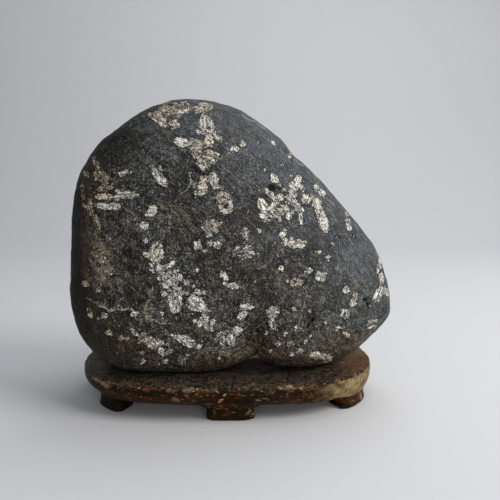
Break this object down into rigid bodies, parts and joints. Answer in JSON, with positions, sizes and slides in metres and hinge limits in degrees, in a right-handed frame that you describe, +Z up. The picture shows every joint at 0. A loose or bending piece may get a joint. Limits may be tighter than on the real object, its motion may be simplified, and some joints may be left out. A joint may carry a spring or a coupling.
{
  "type": "suiseki stone on a carved stand",
  "caption": "Dark water-worn stone with pale flower-like crystals, displayed upright in the fitted seat of a carved wooden stand on short feet.",
  "frame": {"origin": "on the surface that the feet stand on, under the middle of the object's outer box", "axes": "+X to the right along the stand, seen from the front; the face that is shown looks along -Y; +Z up"},
  "size_m": [0.1912, 0.105, 0.1752],
  "materials": {
    "porphyry": "satin",
    "dark_wood": "satin"
  },
  "bodies": {
    "root": {"stone": "porphyry", "stand": "dark_wood"}
  },
  "joints": []
}
